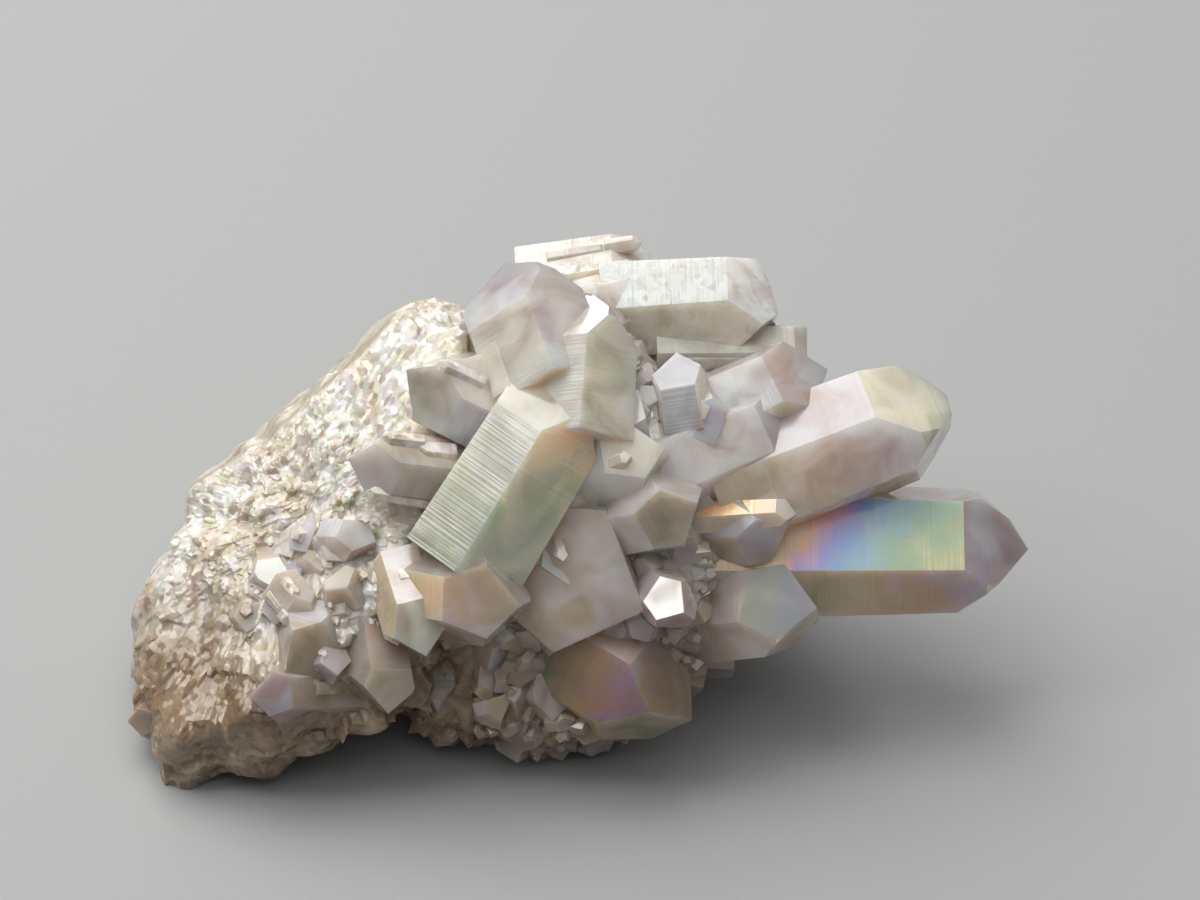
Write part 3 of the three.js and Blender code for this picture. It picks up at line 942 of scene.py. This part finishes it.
def quartz_looks():
    """The one material: milky and sugary quartz with brown stains and painted shade, under a thin
    coat.
    """
    material = bpy.data.materials.new("aura_quartz")
    material.use_nodes = True
    tree = material.node_tree
    tree.nodes.clear()
    coat, clear, sugary = (mark_of(tree, name) for name in ("coat", "clear", "sugary"))
    spot = add(tree, "ShaderNodeTexCoord").outputs["Object"]
    bent = bent_places(tree, spot)
    cloud = spread(tree, noise_of(tree, bent, 200), 0.38, 0.62)
    veil = spread(tree, noise_of(tree, bent, 520), 0.38, 0.66)
    rust = spread(tree, noise_of(tree, bent, 150), 0.35, 0.65)

    # Milky crystal with clouds and veils in it, and sugary quartz that is coarser.
    milk = mixed(tree, cloud, *CLOUDY)
    milk = mixed(tree, product(tree, veil, 0.35), milk, VEIL)
    banded = mark_of(tree, "banded")
    tilt = product(tree, sugary, spread(tree, banded, 0, 1, 0.9, 0.22))
    facets, own_colour = tilted_cells(tree, spot, 1900, tilt)
    sugar = mixed(tree, 0.24, mixed(tree, veil, *SUGAR), own_colour, "SOFT_LIGHT")
    sugar = mixed(tree, spread(tree, rust, 0.55, 1, 0, 0.4), sugar, SUGAR_STAIN)
    colour = mixed(tree, sugary, milk, sugar)

    # Growth bands along the rim.
    across = vector_of(tree, "DOT_PRODUCT", spot, BANDS_ACROSS, "Value")
    across = total(tree, product(tree, across, 1 / (MM * BAND_STEP)), product(tree, cloud, 0.8))
    band = spread(tree, lines_of(tree, across, 0.9, 3), 0.35, 0.65)
    colour = mixed(tree, banded, colour, mixed(tree, band, *GROWTH_BAND))

    # Iron brown where the quartz lies low in front, partly stain and partly painted shade, and
    # painted shade in its nooks.
    # Painted shade in the nooks that the specimen shuts in, less on coated faces and sugary quartz.
    nook = product(
        tree, spread(tree, mark_of(tree, "nook_shade"), 0.25, 0.85), spread(tree, rust, 0, 1, 0.35, 1),
        spread(tree, sugary, 0, 1, 1, 0.45), spread(tree, coat, 0.5, 1.2, 1, 0),
    )
    low = product(tree, mark_of(tree, "iron_and_shade"), spread(tree, rust, 0, 1, 0.65, 1), clamp=True)
    brown = math_of(tree, "MAXIMUM", product(tree, low, 0.95), product(tree, nook, 0.6))
    colour = mixed(tree, brown, colour, mixed(tree, rust, *IRON_BROWN_AND_SHADE))

    # Each face's own tone, partly painted shade and highlight on some listed faces, and its coat.
    shade = spread(tree, mark_of(tree, "tone"), 0, 1, 0.25, 1.1)
    colour = vector_of(tree, "SCALE", colour, Scale=shade)
    streaks = lines_of(tree, mark_of(tree, "along"), 4, 2)
    phase = total(
        tree, mark_of(tree, "film"), spread(tree, cloud, 0, 1, -0.07, 0.07),
        spread(tree, streaks, 0, 1, -0.08, 0.08), 4,
    )
    film = ramp_of(tree, math_of(tree, "FRACT", phase, 0), FILM_COLOURS)
    much = product(
        tree, coat, spread(tree, rust, 0, 1, 0.45, 1.15), spread(tree, sugary, 0, 1, 0.72, 0.3),
        clamp=True,
    )
    colour = mixed(tree, much, colour, film)

    # Ripples on every face, lines across the walls, and broken facets on the sugary quartz.
    lines = product(tree, streaks, mark_of(tree, "striated"), STRIATION)
    ripple = product(tree, noise_of(tree, spot, 380, 1), RIPPLE)
    bump = add(tree, "ShaderNodeBump", {
        "Height": total(tree, lines, ripple), "Normal": facets, "Strength": 1, "Distance": 1,
    })
    roughness = total(tree, spread(tree, sugary, 0, 1, 0.14, 0.2), product(tree, veil, 0.1))

    # Milk scatters light under the outer surface only: seen from within, it would look black.
    within = add(tree, "ShaderNodeNewGeometry").outputs["Backfacing"]
    milkiness = product(
        tree, spread(tree, sugary, 0, 1, 0.9, 0.4), spread(tree, within, 0, 1, 1, 0)
    )
    see_through = product(
        tree, spread(tree, clear, 0, 1, 0.36, 0.7), spread(tree, coat, 0.3, 1, 1, 0.2),
        spread(tree, sugary, 0, 0.5, 1, 0),
    )
    shader = add(tree, "ShaderNodeBsdfPrincipled", {
        "Base Color": colour, "Roughness": roughness, "IOR": 1.544, "Normal": bump.outputs[0],
        "Subsurface Weight": milkiness, "Subsurface Radius": (1.0, 0.8, 0.68),
        "Subsurface Scale": spread(tree, mark_of(tree, "size"), 0, 1, 0.0008, 0.0055),
        "Transmission Weight": see_through,
        "Coat Weight": 0.5, "Coat Roughness": 0.07, "Coat IOR": 1.6,
    })
    add(tree, "ShaderNodeOutputMaterial", {"Surface": shader.outputs[0]})
    return material


corner_marks(body.data, everyone)
body.data.materials.clear()
body.data.materials.append(quartz_looks())
body.data.attributes.remove(body.data.attributes["owner"])

# From millimetres to the row frame.
body.data.transform(Matrix.Diagonal((MM, MM, MM, 1)) @ Matrix.Translation(TO_BOX_MIDDLE))
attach(body, "root")
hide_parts("quartz_cluster")

# The camera looks from where the photograph's did: in front, 40 degrees above the horizon.
CAMERA_HEIGHT_ANGLE = math.radians(40)
CAMERA_DISTANCE = 0.330
CAMERA_LENS = 123.75
LOOKS_AT = Vector((1.65, 0, 22.3)) * MM + Vector(TO_BOX_MIDDLE) * MM


def lamp(name, way, distance, size, power, colour=(1, 1, 1)):
    """A square soft light that shines at the specimen from one way."""
    data = bpy.data.lights.new(name, "AREA")
    data.energy, data.size, data.color = power, size, colour
    made = bpy.data.objects.new(name, data)
    made.location = Vector((0, 0, 0.015)) + Vector(way).normalized() * distance
    made.rotation_euler = Vector(way).to_track_quat("Z", "Y").to_euler()
    bpy.context.scene.collection.objects.link(made)


def studio():
    """The camera, a plain floor, a soft sky and four soft lamps."""
    scene = bpy.context.scene
    camera = bpy.data.objects.new("camera", bpy.data.cameras.new("camera"))
    camera.data.lens = CAMERA_LENS
    camera.data.sensor_width = 36
    camera.data.clip_start = 0.01
    back = Vector((0, -math.cos(CAMERA_HEIGHT_ANGLE), math.sin(CAMERA_HEIGHT_ANGLE)))
    camera.location = LOOKS_AT + back * CAMERA_DISTANCE
    camera.rotation_euler = back.to_track_quat("Z", "Y").to_euler()
    scene.collection.objects.link(camera)
    scene.camera = camera

    floor_mesh = bpy.data.meshes.new("floor")
    far = 3.0
    corners = [(-far, -far, 0), (far, -far, 0), (far, far, 0), (-far, far, 0)]
    floor_mesh.from_pydata(corners, [], [(0, 1, 2, 3)])
    floor = bpy.data.objects.new("floor", floor_mesh)
    scene.collection.objects.link(floor)
    paint = bpy.data.materials.new("floor")
    paint.use_nodes = True
    shader = paint.node_tree.nodes["Principled BSDF"]
    shader.inputs["Base Color"].default_value = (0.32, 0.32, 0.32, 1)
    shader.inputs["Roughness"].default_value = 0.8
    floor_mesh.materials.append(paint)

    world = bpy.data.worlds.new("studio")
    world.use_nodes = True
    tree = world.node_tree
    way = add(tree, "ShaderNodeTexCoord").outputs["Generated"]
    height = add(tree, "ShaderNodeSeparateXYZ", {"Vector": way}).outputs["Z"]
    sky = ramp_of(tree, height, [
        (0.0, (0.12, 0.12, 0.13)), (0.3, (0.2, 0.21, 0.22)), (0.75, (0.9, 0.95, 1.0)),
    ])
    tree.links.new(sky, tree.nodes["Background"].inputs["Color"])
    tree.nodes["Background"].inputs["Strength"].default_value = 0.42
    scene.world = world
    lamp("key", (-0.35, 0.35, 0.87), 0.6, 0.6, 4.4, (1, 0.98, 0.95))
    lamp("left accent", (-0.68, -0.13, 0.72), 0.6, 0.12, 0.45)
    lamp("back accent", (-0.34, 0.9, 0.27), 0.6, 0.14, 0.5)
    lamp("overhead", (0, -0.1, 1), 0.8, 0.9, 2.5)
    scene.view_settings.view_transform = "Standard"


studio()
